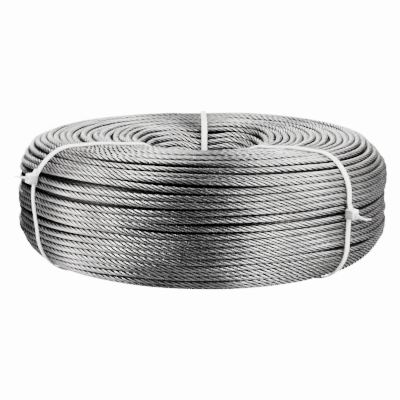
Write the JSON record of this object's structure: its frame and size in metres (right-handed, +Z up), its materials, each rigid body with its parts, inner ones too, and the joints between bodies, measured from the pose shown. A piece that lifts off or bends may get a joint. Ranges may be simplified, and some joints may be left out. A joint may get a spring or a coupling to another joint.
{
  "type": "wire rope coil",
  "caption": "Coil of bare steel wire rope wound round an open bore, lying flat, its turns held by nylon cable ties.",
  "frame": {"origin": "on the coil's axis, at the level of the floor it lies on", "axes": "+Z up along the coil's axis; the pictured front faces -Y, and the tie at the back is on +Y"},
  "size_m": [0.188, 0.1892, 0.0634],
  "materials": {
    "steel_rope": "bare drawn wire, satin",
    "nylon": "natural white moulded nylon, satin"
  },
  "bodies": {
    "root": {"rope_coil": "steel_rope", "tie_left": "nylon", "tie_right": "nylon", "tie_back": "nylon"}
  },
  "joints": []
}
